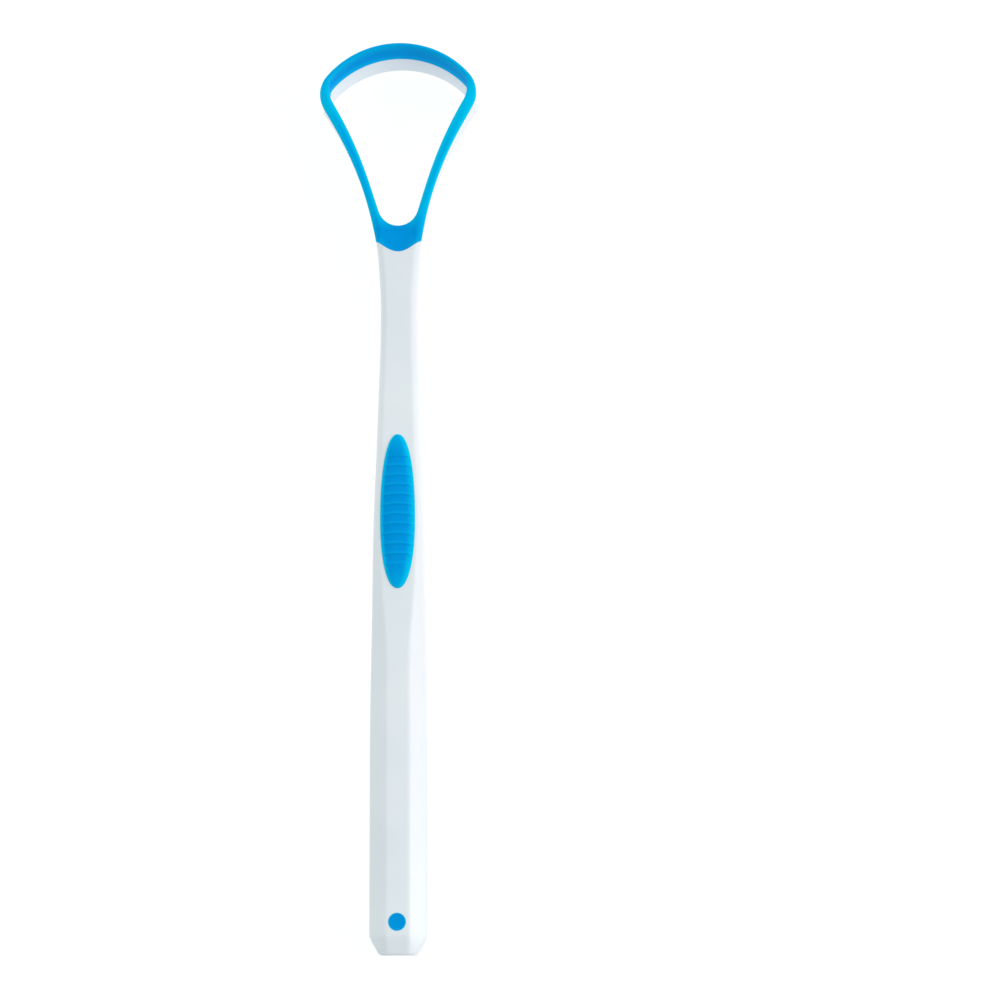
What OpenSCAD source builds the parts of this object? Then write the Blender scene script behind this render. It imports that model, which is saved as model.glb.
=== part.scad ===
// Tongue scraper: a white rigid handle and loop, with a soft lip round the loop, a soft ribbed
// grip and a soft dot at the tail.
// It lies on its back. +Z points up out of the grip, +Y to the tip of the loop, and the origin is
// under the middle of its length, on the surface that it lies on.

/* [Overall] */
// Length from the tail to the tip of the loop
scraper_length = 175; // [165:1:190]
// Thickness of the handle, from its back flat to its front flat
handle_t = 7.5; // [6.8:0.1:9]

/* [Handle] */
// Width of the handle near the tail
handle_w = 10.8; // [9.8:0.1:12]
// Width across the lower end of the grip
grip_low_w = 9.9; // [9.2:0.1:11]
// Width across the middle of the grip
grip_mid_w = 9.3; // [8.8:0.1:10.5]
// Width across the upper end of the grip
grip_top_w = 8.1; // [7.2:0.1:9]
// Width of the neck at its narrowest
neck_w = 6.9; // [6:0.1:8]
// Width of the throat, where the neck opens into the loop
throat_w = 8.8; // [8.2:0.1:9.4]
// Width of the front flat and the back flat of the lower handle
flat_w = 4.4; // [3.6:0.1:6]
// Height of the bevels beside those flats
bevel_h = 2.5; // [1.5:0.1:3]
// Width of the small bevel along the grip and neck
neck_bevel_w = 0.9; // [0.5:0.1:1.3]
// Height of that bevel
neck_bevel_h = 1.1; // [0.6:0.1:1.5]
// Depth that the front dips at the neck
neck_dip = 0.6; // [0:0.1:1]
// Height that the back lifts at the neck
neck_lift = 1.2; // [0:0.1:1.6]
// Length of the tapered tail
tail_taper_l = 3.5; // [2:0.1:4]
// Length of the rounding at the very end of the tail
tail_round_l = 0.5; // [0.3:0.05:0.8]
// How far each long edge of the handle is softened
edge_soft = 0.45; // [0.1:0.05:0.8]

/* [Loop] */
// Length of the loop, from the lower edge of the throat to the tip
loop_l = 41.4; // [39:0.1:44]
// Width of the loop across its corners
loop_w = 30.3; // [28.5:0.1:32]
// How much larger the radius of the scraping arc is than half the loop's width
arc_extra_r = 3; // [2:0.1:5]
// Outer radius of the loop's corners
corner_r = 5.6; // [4.5:0.1:6.5]
// Angle from the length at which the arms leave the corners, in degrees
arm_angle = 24; // [20:1:30]
// Angle from the length at which the arms reach the throat, in degrees
throat_angle = 9.6; // [6:0.2:14]
// Angle from the length at which the opening leaves the corners, in degrees
inner_angle = 30; // [27:1:33]
// Radius of the rounded bottom of the opening
crotch_r = 3.95; // [3.4:0.05:4.2]
// Angle from the length at which the opening leaves that rounding, in degrees
crotch_angle = 18; // [14:1:24]
// Distance from the lower edge of the throat to the bottom of the opening
throat_l = 5.2; // [4.6:0.1:6]
// Distance from that lower edge to the two upper corners of the throat's seat
seat_side_l = 2.3; // [1.8:0.1:2.8]
// Height of the front edge at the tip above the front of the handle
tip_rise = 1.3; // [0.8:0.1:3]
// Depth of the wall behind the scraping arc
wall_depth = 8.2; // [6:0.1:9]
// Angle at which that wall leans towards the handle, in degrees
wall_lean = 18; // [5:1:22]
// Thickness of the arms from front to back
arm_t = 4.6; // [3.8:0.1:6]
// Outward flare of the scraping wall's back edge
wall_flare = 1; // [0:0.1:1.6]
// Rounding of the back edges of the loop
back_soft = 0.35; // [0.1:0.05:0.4]

/* [Soft lip] */
// Thickness of the lip's front edge along the scraping arc
lip_w = 0.8; // [0.7:0.05:1.2]
// Width of the lip at the middle of the loop's corners
lip_corner_w = 1.75; // [1.6:0.05:2.1]
// Width of the lip where it leaves the corners for the arms
lip_arm_w = 2.05; // [1.9:0.05:2.5]
// Depth of the soft skin on the inner face of the scraping wall
lip_skin_depth = 4.2; // [3:0.1:5]
// Thickness of that skin
lip_skin_t = 0.5; // [0.4:0.05:0.55]
// Height of the soft cap over the front edge of the scraping wall
lip_cap_h = 1.6; // [1.2:0.1:2]
// Height of the soft cap along the arms
arm_cap_h = 1; // [0.8:0.1:1.2]
// Depth of the soft skin on the inner face of the arms
arm_skin_depth = 1.3; // [1.25:0.05:2]
// Thickness of the soft throat over its round seat
throat_cap_h = 1.1; // [0.9:0.1:1.5]
// How far the soft throat wraps down into the opening below its seat
crotch_wrap_h = 0.5; // [0.2:0.1:1]
// Depth of the outer bevel of the lip along the arms
lip_bevel_h = 0.5; // [0.3:0.05:0.6]
// Depth of the dish in the throat
dish_depth = 0.35; // [0:0.05:0.5]

/* [Grip pad] */
// Length of the pad above its widest place
pad_upper_l = 16.1; // [14:0.1:18]
// Length of the pad below its widest place
pad_lower_l = 13.4; // [12:0.1:15]
// Width of the pad at its widest
pad_w = 6.6; // [5.5:0.1:7]
// Distance from the tail to the widest place of the pad
pad_from_tail = 81.5; // [76:0.5:86]
// Depth of the pocket that holds the pad
pocket_depth = 1.2; // [0.8:0.1:1.8]
// Height of the pad's edge above the handle
pad_edge_h = 0.15; // [0.1:0.05:0.4]
// Further rise of the pad from its edge to its middle
pad_crown_h = 0.7; // [0.3:0.05:1]
// Width of the smooth border round the ribs
pad_border_w = 0.85; // [0.6:0.05:1.1]
// Number of ribs
rib_count = 12; // [8:1:12]
// Spacing of the ribs
rib_pitch = 1.88; // [1.6:0.02:1.9]
// Width of a rib's top
rib_w = 0.35; // [0.25:0.05:0.5]
// Depth of the floor between the ribs
rib_depth = 0.25; // [0.15:0.05:0.35]
// How far the middle of a rib bows towards the loop
rib_bow = 0.4; // [0:0.05:0.6]
// How far the middle of the ribs lies above the widest place of the pad
rib_shift = 1.4; // [0:0.1:2]
// Diameter of the two pegs that anchor the pad
peg_d = 2; // [1.4:0.1:2.6]
// Length of those pegs below the pocket
peg_l = 2.2; // [1.2:0.1:3]
// Distance from the widest place of the pad to each peg
peg_reach = 7; // [5:0.5:8]

/* [Tail dot] */
// Diameter of the dot
dot_d = 3.3; // [2.6:0.1:3.6]
// Distance from the tail to the centre of the dot
dot_from_tail = 6; // [6:0.1:10]
// Depth of the dot's head
dot_h = 1.2; // [0.8:0.1:2]
// Diameter of the root below the dot's head
root_d = 2; // [1.2:0.1:2.4]
// Length of that root
root_l = 2; // [1:0.1:3]

/* [Fit] */
// Gap between the soft pieces and their seats
bond_gap = 0.03; // [0.01:0.01:0.04]

/* [Hidden] */
white = "#eef3f7";
blue = "#0a9ce4";
round_fn = 64;
// How far a cutter reaches past the face that it cuts
overrun = 1;

// Places along the length
tail_y = -scraper_length / 2;
tip_y = scraper_length / 2;
throat_y = tip_y - loop_l;
pad_y = tail_y + pad_from_tail;
pad_top_y = pad_y + pad_upper_l;
pad_low_y = pad_y - pad_lower_l;
dot_y = tail_y + dot_from_tail;
// The neck is narrowest this far before the throat
neck_run = 12;
neck_y = throat_y - neck_run;
// The facets of the lower handle start to run out this far below the pad
facet_run = 13;
facet_y = pad_low_y - facet_run;
// The handle has its full width from this far below the pad
full_run = 31;
full_y = pad_low_y - full_run;
seat_side_y = throat_y + seat_side_l;
// The neck ends inside the throat, this far past the seat's corners
neck_end_l = 2;
neck_end_y = seat_side_y + neck_end_l;
// It starts to flare this far before the seat's corners, and less steeply than the arms leave them
flare_l = 3;
flare_y = seat_side_y - flare_l;
flare_share = 0.8;
flare_w = throat_w - 2 * flare_l * tan(throat_angle) * flare_share;
neck_end_w = throat_w + 2 * neck_end_l * tan(throat_angle);

// Widths and heights along the length: a smooth curve through each list's [place, size] keys
width_keys = [
    [tail_y, handle_w], [full_y, handle_w], [pad_low_y, grip_low_w], [pad_y, grip_mid_w],
    [pad_top_y, grip_top_w], [neck_y, neck_w], [flare_y, flare_w], [seat_side_y, throat_w],
    [neck_end_y, neck_end_w], [2 * neck_end_y - seat_side_y, 2 * neck_end_w - throat_w]
];
flat_keys = [
    [tail_y, flat_w], [facet_y, flat_w], [pad_low_y, (flat_w + grip_low_w) / 2 - neck_bevel_w],
    [pad_y, grip_mid_w - 2 * neck_bevel_w], [pad_top_y, grip_top_w - 2 * neck_bevel_w],
    [neck_y, neck_w - 2 * neck_bevel_w], [flare_y, flare_w - 2 * neck_bevel_w],
    [seat_side_y, throat_w - 2 * neck_bevel_w], [neck_end_y, neck_end_w - 2 * neck_bevel_w],
    [2 * neck_end_y - seat_side_y, 2 * (neck_end_w - neck_bevel_w) - throat_w]
];
bevel_keys = [
    [tail_y, bevel_h], [facet_y, bevel_h], [pad_y, neck_bevel_h], [neck_end_y, neck_bevel_h]
];
arm_mid_share = 0.35;
corner_share = 0.7;
throat_rise_share = 0.1;
arm_rise_share = 0.5;
corner_rise_share = 0.85;
throat_lift_share = 1.6;
arm_mid_y = throat_y + loop_l * arm_mid_share;
corner_y = throat_y + loop_l * corner_share;
front_keys = [
    [tail_y, handle_t], [pad_top_y, handle_t], [neck_y, handle_t - neck_dip],
    [throat_y, handle_t - neck_dip + tip_rise * throat_rise_share],
    [arm_mid_y, handle_t + tip_rise * arm_rise_share],
    [corner_y, handle_t + tip_rise * corner_rise_share], [tip_y, handle_t + tip_rise]
];
back_keys = [
    [tail_y, 0], [pad_top_y, 0], [neck_y, neck_lift], [seat_side_y, neck_lift * throat_lift_share],
    [arm_mid_y, handle_t + tip_rise * arm_rise_share - arm_t],
    [corner_y, handle_t + tip_rise * corner_rise_share - arm_t], [tip_y, handle_t + tip_rise - arm_t]
];

// Shared curves
function mix(a, b, t) = a + (b - a) * t;
function clamp01(t) = min(1, max(0, t));
function ease(t) = let(c = clamp01(t)) c * c * (3 - 2 * c);
function slope(keys, i) = (keys[i + 1][1] - keys[i][1]) / (keys[i + 1][0] - keys[i][0]);
// The tangent at a key is level at the ends and at a turn, so the curve never overshoots a key
function tangent(keys, i) =
    i == 0 || i == len(keys) - 1 ? 0 :
    let(a = slope(keys, i - 1), b = slope(keys, i)) a * b <= 0 ? 0 : 2 * a * b / (a + b);
function span(keys, x, i = 0) = i >= len(keys) - 2 || x < keys[i + 1][0] ? i : span(keys, x, i + 1);
function smooth_at(keys, x) =
    let(i = span(keys, x), run = keys[i + 1][0] - keys[i][0], t = clamp01((x - keys[i][0]) / run))
    let(t2 = t * t, t3 = t2 * t)
    (2 * t3 - 3 * t2 + 1) * keys[i][1] + (t3 - 2 * t2 + t) * run * tangent(keys, i)
    + (3 * t2 - 2 * t3) * keys[i + 1][1] + (t3 - t2) * run * tangent(keys, i + 1);
function bezier(p, t) =
    let(s = 1 - t) s * s * s * p[0] + 3 * s * s * t * p[1] + 3 * s * t * t * p[2] + t * t * t * p[3];

// A solid through a row of rings, each a closed list of points. Ends are closed flat.
module loft(rings) {
    n = len(rings[0]);
    polyhedron(
        points = [for (r = rings) each r],
        faces = concat(
            [for (k = [0 : len(rings) - 2], i = [0 : n - 1], f = quad(k * n, (k + 1) * n, i, n)) f],
            [[for (i = [0 : n - 1]) i]],
            [[for (i = [n - 1 : -1 : 0]) (len(rings) - 1) * n + i]]
        ),
        convexity = 6
    );
}

// The same for rings that follow each other round a closed loop
module loop_loft(rings) {
    n = len(rings[0]);
    m = len(rings);
    polyhedron(
        points = [for (r = rings) each r],
        faces = [for (k = [0 : m - 1], i = [0 : n - 1], f = quad(k * n, (k + 1) % m * n, i, n)) f],
        convexity = 8
    );
}

// Two triangles between neighbouring points of two rings that start at a and b
function quad(a, b, i, n) =
    let(j = (i + 1) % n) [[a + i, b + i, b + j], [a + i, b + j, a + j]];

// Handle and neck: a bevelled section that runs the length
function soften(p, i) =
    let(n = len(p), c = p[i], a = p[(i + n - 1) % n] - c, b = p[(i + 1) % n] - c)
    let(la = min(edge_soft, norm(a) * edge_share), lb = min(edge_soft, norm(b) * edge_share))
    let(pa = c + a / norm(a) * la, pb = c + b / norm(b) * lb) [pa, (pa + 2 * c + pb) / 4, pb];
edge_share = 0.45;
function handle_section(y) =
    let(w = smooth_at(width_keys, y) / 2, f = smooth_at(flat_keys, y) / 2)
    let(b = smooth_at(bevel_keys, y), top = smooth_at(front_keys, y), low = smooth_at(back_keys, y))
    let(corners = [
        [f, top], [w, top - b], [w, low + b], [f, low],
        [-f, low], [-w, low + b], [-w, top - b], [-f, top]
    ])
    [for (i = [0 : len(corners) - 1]) each soften(corners, i)];
function handle_ring(y, k = 1) =
    let(mid = handle_t / 2) [for (p = handle_section(y)) [p.x * k, y, mix(mid, p.y, k)]];
taper_share = 0.7;
tail_face_share = 0.61;
taper_y = tail_y + tail_taper_l;
handle_steps = 32;
flare_steps = 4;
// The rings stand closer where the neck flares, so that its sides meet the loop's at the seat
handle_places = concat(
    [for (i = [0 : handle_steps - 1]) mix(taper_y, flare_y, i / handle_steps)],
    [for (i = [0 : flare_steps - 1]) mix(flare_y, seat_side_y, i / flare_steps)],
    [for (i = [0 : flare_steps]) mix(seat_side_y, neck_end_y, i / flare_steps)]
);
module handle_bar() {
    loft(concat(
        [handle_ring(tail_y, tail_face_share), handle_ring(tail_y + tail_round_l, taper_share)],
        [for (y = handle_places) handle_ring(y)]
    ));
}

// The loop is followed in stages, from the middle of the scraping arc at stage 0 to the bottom of
// the throat at the last one. The other half is the mirror image of this one.
ARC = 1;
CORNER = 2;
ARM = 3;
SEAT = 4;
THROAT = 5;
arc_r = loop_w / 2 + arc_extra_r;
arc_c = [0, tip_y - arc_r];
corner_turn = asin((loop_w / 2 - corner_r) / (arc_r - corner_r));
corner_c = arc_c + (arc_r - corner_r) * [sin(corner_turn), cos(corner_turn)];
corner_end = 90 + arm_angle;
crotch_c = [0, throat_y + throat_l + crotch_r];
seat_look = atan2(crotch_c.y - seat_side_y, throat_w / 2);
// Lower edge of the throat: a wave that dips between the corners of the seat
seat_wave = 105;
function seat_dip(x) =
    throat_y + seat_side_l * (1 - cos(seat_wave * x / throat_w * 2)) / (1 - cos(seat_wave));

// Outer line of an arm, from the corner to the seat's corner
arm_top_share = 0.12;
arm_low_share = 0.53;
arm_split_share = 0.875;
arm_from = corner_c + corner_r * [cos(arm_angle), -sin(arm_angle)];
arm_to = [throat_w / 2, seat_side_y];
arm_run = norm(arm_to - arm_from);
arm_line = [
    arm_from, arm_from - arm_run * arm_top_share * [sin(arm_angle), cos(arm_angle)],
    arm_to + arm_run * arm_low_share * [sin(throat_angle), cos(throat_angle)], arm_to
];
// Inner line of an arm, from the corner to the rounded bottom of the opening
inner_top_share = 0.45;
inner_low_share = 0.26;
inner_from = arm_from - lip_arm_w * [cos(arm_angle), -sin(arm_angle)];
inner_to = crotch_c + crotch_r * [cos(crotch_angle), -sin(crotch_angle)];
inner_run = norm(inner_to - inner_from);
inner_line = [
    inner_from, inner_from - inner_run * inner_top_share * [sin(inner_angle), cos(inner_angle)],
    inner_to + inner_run * inner_low_share * [sin(crotch_angle), cos(crotch_angle)], inner_to
];

// Stages between the ones named above: where the lip starts to widen and the middle of the corner,
// where the wall's flare has begun to fade and has gone, and where the bevel of the back starts
LIP_WIDENS = 0.9;
MID_CORNER = 1.5;
FLARE_FADES = 0.5;
FLARE_GONE = 1.1;
BACK_BEVELS = 2.6;
// Sizes that change along the loop, as [stage, size] keys
lip_keys = [[0, lip_w], [LIP_WIDENS, lip_w], [MID_CORNER, lip_corner_w], [CORNER, lip_arm_w]];
flare_shares = [[0, 1], [FLARE_FADES, 0.8], [FLARE_GONE, 0], [THROAT, 0]];
cap_keys = [[0, lip_cap_h], [ARC, lip_cap_h], [CORNER, arm_cap_h], [ARM, arm_cap_h]];
tip_ridge_share = 0.7;
corner_ridge_share = 0.6;
arm_ridge_share = 1.2;
tip_bevel_share = 0.6;
seat_bevel_share = 0.9;
seat_bevel_h = min(neck_bevel_h, throat_cap_h) * seat_bevel_share;
seat_bevel_w = neck_bevel_w / cos(seat_look);
ridge_keys = [
    [0, lip_w * tip_ridge_share], [ARC, lip_w * tip_ridge_share], [CORNER, lip_arm_w * corner_ridge_share],
    [ARM, neck_bevel_w * arm_ridge_share], [SEAT, seat_bevel_w]
];
lip_bevel_keys = [
    [0, lip_bevel_h * tip_bevel_share], [ARC, lip_bevel_h * tip_bevel_share],
    [CORNER, lip_bevel_h], [ARM, lip_bevel_h], [SEAT, seat_bevel_h]
];
back_w_keys = [[0, back_soft], [BACK_BEVELS, back_soft], [SEAT, seat_bevel_w]];
back_h_keys = [[0, back_soft], [BACK_BEVELS, back_soft], [SEAT, neck_bevel_h]];
inner_shares = [[0, 0.4], [ARC, 0.4], [CORNER, 0.6], [ARM, 0.6], [THROAT, 1]];
dish_shares = [[0, 0], [ARM, 0], [SEAT, 1], [THROAT, 0.7]];
dish_near_share = 0.65;
seat_z = smooth_at(front_keys, throat_y) - throat_cap_h;

function outer_at(g) =
    g < ARC ? let(a = corner_turn * g) arc_c + arc_r * [sin(a), cos(a)] :
    g < CORNER ? let(a = mix(corner_turn, corner_end, g - ARC)) corner_c + corner_r * [sin(a), cos(a)] :
    g < ARM ? bezier(arm_line, (g - CORNER) * arm_split_share) :
    g < SEAT ? bezier(arm_line, mix(arm_split_share, 1, g - ARM)) :
    let(x = throat_w / 2 * (THROAT - g)) [x, seat_dip(x)];
function inner_at(g) =
    g < ARC ? let(a = corner_turn * g) outer_at(g) - smooth_at(lip_keys, g) * [sin(a), cos(a)] :
    g < CORNER ? let(a = mix(corner_turn, corner_end, g - ARC))
        outer_at(g) - smooth_at(lip_keys, g) * [sin(a), cos(a)] :
    g < ARM ? bezier(inner_line, g - CORNER) :
    let(a = g < SEAT ? mix(crotch_angle, seat_look, g - ARM) : mix(seat_look, 90, g - SEAT))
    crotch_c + crotch_r * [cos(a), -sin(a)];

// How far the scraping wall's full depth is reached, which fades along the arms, and how far its
// full lean and skin are, which fade sooner, round the corners
wall_fade_l = 20;
lean_fade_l = 8;
wall_high_y = arc_c.y + arc_r * cos(corner_turn);
function wall_share(g) = ease(1 + (outer_at(g).y - wall_high_y) / wall_fade_l);
function lean_share(g) = ease(1 + (outer_at(g).y - wall_high_y) / lean_fade_l);

// The lip's outer bevel, which in the throat carries on the bevel of the neck until that runs out
seam_share = 0.05;
function neck_bevel_left(g) = max(0, outer_at(g).x - throat_w / 2 + neck_bevel_w) / neck_bevel_w;
function bevel_depth(g) =
    g < SEAT ? smooth_at(lip_bevel_keys, g) :
    max(throat_cap_h * seam_share, seat_bevel_h * neck_bevel_left(g));
function ridge_at(g) =
    g < SEAT ? smooth_at(ridge_keys, g) : max(neck_bevel_w * seam_share, seat_bevel_w * neck_bevel_left(g));

// A point of the loop's section: n is inward from the outer line, d is down along the wall
function loop_place(g, n, d) =
    let(o = outer_at(g), way = inner_at(g) - o, lean = (d - bevel_depth(g)) * sin(wall_lean * lean_share(g)))
    o + way / norm(way) * n - [0, lean];
function loop_point(g, n, d) =
    let(p = loop_place(g, n, d))
    [p.x, p.y, smooth_at(front_keys, p.y) - d * cos(wall_lean * lean_share(g))];
// A point of its back, a height above the curve that the back of the neck and arms follows
function back_point(g, n, h) =
    let(p = loop_place(g, n, full_depth(g)), wall = wall_depth * cos(wall_lean))
    let(low = mix(smooth_at(back_keys, p.y), smooth_at(front_keys, p.y) - wall, wall_share(g)))
    [p.x, p.y, low + h];
function loop_width(g) = norm(inner_at(g) - outer_at(g));
function full_depth(g) =
    let(y = outer_at(g).y, arm = smooth_at(front_keys, y) - smooth_at(back_keys, y))
    mix(arm, wall_depth, wall_share(g));
function skin_depth(g) = mix(arm_skin_depth, lip_skin_depth, lean_share(g));
// The lip's foot: a depth below the front along the arms, and a level height in the throat
function foot_point(g, n, d, z) = let(p = loop_point(g, n, d)) [p.x, p.y, mix(p.z, z, ease(g - ARM))];
function cap_point(g, n, gap) = foot_point(g, n, smooth_at(cap_keys, g) + gap, seat_z - gap);
function skin_point(g, n, gap) = foot_point(g, n, skin_depth(g) + gap, seat_z - crotch_wrap_h - gap);
function flare(g, d) = -wall_flare * smooth_at(flare_shares, g) * d / wall_depth;

// Outline of the seat that the neck gives the soft throat, wider than the neck above its corners
seat_steps = 12;
seat_outline = concat(
    [for (i = [-seat_steps : seat_steps]) let(x = throat_w / 2 * i / seat_steps) [x, seat_dip(x)]],
    [[throat_w, seat_side_y], [throat_w, neck_end_y + overrun],
        [-throat_w, neck_end_y + overrun], [-throat_w, seat_side_y]]
);

// Section of the soft lip: outer foot, bevel, ridge, inner slope or dish, inner skin and its root
function lip_ring(g) =
    let(w = loop_width(g), r = ridge_at(g), bevel = bevel_depth(g))
    let(edge = lip_bevel_h * smooth_at(inner_shares, g), dish = dish_depth * smooth_at(dish_shares, g))
    [
        cap_point(g, 0, 0), loop_point(g, 0, bevel), loop_point(g, r / 3, bevel / 3),
        loop_point(g, r, 0), loop_point(g, mix(r, w, 1 / 3), edge / 6 + dish * dish_near_share),
        loop_point(g, mix(r, w, 2 / 3), edge / 2 + dish), loop_point(g, w, edge),
        skin_point(g, w, 0), skin_point(g, w - lip_skin_t, 0), cap_point(g, w - lip_skin_t, 0)
    ];
// Section of the white frame behind it. In the throat its outer side is buried in the neck.
function frame_ring(g) =
    let(w = loop_width(g), full = full_depth(g), edge_h = smooth_at(back_h_keys, g))
    let(in = g > SEAT ? [0, -bury * ease((g - SEAT) * bury_rate), 0] : [0, 0, 0], s = lip_skin_t + bond_gap)
    [
        cap_point(g, w - s, bond_gap), skin_point(g, w - s, bond_gap), skin_point(g, w, bond_gap),
        back_point(g, w, back_soft), back_point(g, w - back_soft, 0),
        in + back_point(g, flare(g, full) + smooth_at(back_w_keys, g), 0),
        in + back_point(g, flare(g, full - edge_h), edge_h),
        in + cap_point(g, flare(g, smooth_at(cap_keys, g)), bond_gap)
    ];
// How far that side is buried, and how soon after the seat's corner it is
bury = 1;
bury_rate = 3;
arc_steps = 18;
corner_steps = 12;
arm_steps = 14;
throat_steps = 8;
half_stages = concat(
    [for (i = [0 : arc_steps - 1]) i / arc_steps],
    [for (i = [0 : corner_steps - 1]) ARC + i / corner_steps],
    [for (i = [0 : arm_steps - 1]) CORNER + i / arm_steps],
    [for (i = [0 : throat_steps - 1]) ARM + i / throat_steps],
    [for (i = [0 : throat_steps]) SEAT + i / throat_steps]
);
function mirror_ring(r) = [for (p = r) [-p.x, p.y, p.z]];
function round_loop(rings) =
    concat(rings, [for (i = [len(rings) - 2 : -1 : 1]) mirror_ring(rings[i])]);

// Grip pad: an egg outline, crowned across, with bowed ribs between recessed floors
egg_power = 2.2;
function egg_w(y) =
    let(v = y > pad_y ? (y - pad_y) / pad_upper_l : (pad_y - y) / pad_lower_l)
    pad_w / 2 * pow(max(0, 1 - pow(v, egg_power)), 1 / egg_power);
rib_slope = 0.28;
pad_end_steps = 7;
pad_tip_l = 0.05;
function rib_y(i) = pad_y + rib_shift + (i - (rib_count - 1) / 2) * rib_pitch;
first_rib_low = rib_y(0) - rib_w / 2;
last_rib_top = rib_y(rib_count - 1) + rib_w / 2;
// Rows of the pad as [place, depth of the floor]
pad_rows = concat(
    [for (i = [0 : pad_end_steps - 1])
        [mix(pad_low_y + pad_tip_l, first_rib_low, 1 - cos(90 * i / pad_end_steps)), 0]],
    [[first_rib_low, 0]],
    [for (i = [0 : rib_count - 2], row = [
        [rib_y(i) + rib_w / 2, 0], [rib_y(i) + rib_w / 2 + rib_slope, rib_depth],
        [rib_y(i + 1) - rib_w / 2 - rib_slope, rib_depth], [rib_y(i + 1) - rib_w / 2, 0]
    ]) row],
    [[last_rib_top, 0]],
    [for (i = [pad_end_steps - 1 : -1 : 0])
        [mix(pad_top_y - pad_tip_l, last_rib_top, 1 - cos(90 * i / pad_end_steps)), 0]]
);
pocket_z = handle_t - pocket_depth;
shoulder_share = 0.12;
field_share = 0.3;
function pad_ring(row) =
    let(y = row[0], h = egg_w(y), field = max(h - pad_border_w, h * field_share))
    let(step = min(rib_slope, h * shoulder_share), bow = rib_bow * pow(2 * h / pad_w, 2))
    let(rise = pad_crown_h * 2 * h / pad_w, edge = handle_t + pad_edge_h)
    let(top = function(x, d) [x, y + bow * (1 - x * x / h / h), edge + rise * (1 - x * x / h / h) - d])
    [
        [-h, y, pocket_z], [-h, y, edge - pad_edge_h * shoulder_share],
        top(-h * (1 - shoulder_share), 0), top(-field - step, 0), top(-field, row[1]),
        top(-field / 2, row[1]), top(0, row[1]), top(field / 2, row[1]), top(field, row[1]),
        top(field + step, 0), top(h * (1 - shoulder_share), 0),
        [h, y, edge - pad_edge_h * shoulder_share], [h, y, pocket_z]
    ];
pocket_outline = concat(
    [[0, pad_low_y - bond_gap]], [for (row = pad_rows) [egg_w(row[0]) + bond_gap, row[0]]],
    [[0, pad_top_y + bond_gap]],
    [for (i = [len(pad_rows) - 1 : -1 : 0]) [-egg_w(pad_rows[i][0]) - bond_gap, pad_rows[i][0]]]
);
module pegs(gap) {
    for (side = [-1, 1])
        translate([0, pad_y + side * peg_reach, pocket_z - peg_l - gap])
            cylinder(h = peg_l + gap + bond_gap, d = peg_d + 2 * gap, $fn = round_fn);
}

// Tail dot: a round head with a narrower root
module dot(gap, top) {
    translate([0, dot_y, handle_t - dot_h - gap])
        cylinder(h = dot_h + gap + top, d = dot_d + 2 * gap, $fn = round_fn);
    translate([0, dot_y, handle_t - dot_h - root_l - gap])
        cylinder(h = root_l + gap + bond_gap, d = root_d + 2 * gap, $fn = round_fn);
}

module handle_body() {
    color(white) {
        difference() {
            handle_bar();
            // Dipped seat of the soft throat
            translate([0, -bond_gap, seat_z - bond_gap])
                linear_extrude(height = handle_t) polygon(seat_outline);
            // Pocket and peg holes of the grip pad
            translate([0, 0, pocket_z - bond_gap])
                linear_extrude(height = pocket_depth + overrun) polygon(pocket_outline);
            pegs(bond_gap);
            // Hole of the tail dot
            dot(bond_gap, overrun);
        }
        loop_loft(round_loop([for (g = half_stages) frame_ring(g)]));
    }
}

module scraper_rim() {
    color(blue) loop_loft(round_loop([for (g = half_stages) lip_ring(g)]));
}

module grip_pad() {
    color(blue) {
        loft([for (row = pad_rows) pad_ring(row)]);
        pegs(0);
    }
}

module end_plug() {
    color(blue) dot(0, 0);
}

handle_body();
scraper_rim();
grip_pad();
end_plug();
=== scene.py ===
import bmesh
import bpy
import numpy as np
from mathutils import Matrix, Vector


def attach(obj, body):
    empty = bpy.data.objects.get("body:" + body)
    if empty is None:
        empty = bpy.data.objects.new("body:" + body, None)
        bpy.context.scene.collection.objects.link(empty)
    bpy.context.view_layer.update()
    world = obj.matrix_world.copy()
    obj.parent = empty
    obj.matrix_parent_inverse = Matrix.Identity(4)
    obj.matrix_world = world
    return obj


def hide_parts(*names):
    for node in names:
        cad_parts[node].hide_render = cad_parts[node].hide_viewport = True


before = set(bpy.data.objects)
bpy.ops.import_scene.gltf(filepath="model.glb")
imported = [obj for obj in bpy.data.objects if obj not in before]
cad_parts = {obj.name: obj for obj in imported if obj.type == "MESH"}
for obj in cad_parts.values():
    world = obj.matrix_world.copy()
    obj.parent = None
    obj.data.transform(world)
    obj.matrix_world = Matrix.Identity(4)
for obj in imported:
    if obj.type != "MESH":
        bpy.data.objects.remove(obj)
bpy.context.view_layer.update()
MM = 0.001

# Camera, looking down on the scraper from above its tail end and a little from the right, from
# 0.56 m away. The frame is square, and the scraper stands in its left half.
camera_at = np.array([48.12, -106.91, 557.0])
camera_aim = np.array([19.519, -2.971, 7.0])
camera_roll = np.radians(-0.288)
ahead = (camera_aim - camera_at) / np.linalg.norm(camera_aim - camera_at)
right = np.cross(ahead, [0, 1, 0])
right /= np.linalg.norm(right)
above = np.cross(right, ahead)
right, above = (
    np.cos(camera_roll) * right + np.sin(camera_roll) * above,
    np.cos(camera_roll) * above - np.sin(camera_roll) * right,
)
camera = bpy.data.objects.new("camera", bpy.data.cameras.new("camera"))
camera.data.lens = 106.78
camera.data.sensor_width = 36
camera.data.clip_end = 10
camera_turn = Matrix(np.column_stack([right, above, -ahead])).to_4x4()
camera.matrix_world = Matrix.Translation(camera_at * MM) @ camera_turn
bpy.context.scene.collection.objects.link(camera)
bpy.context.scene.camera = camera


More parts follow.
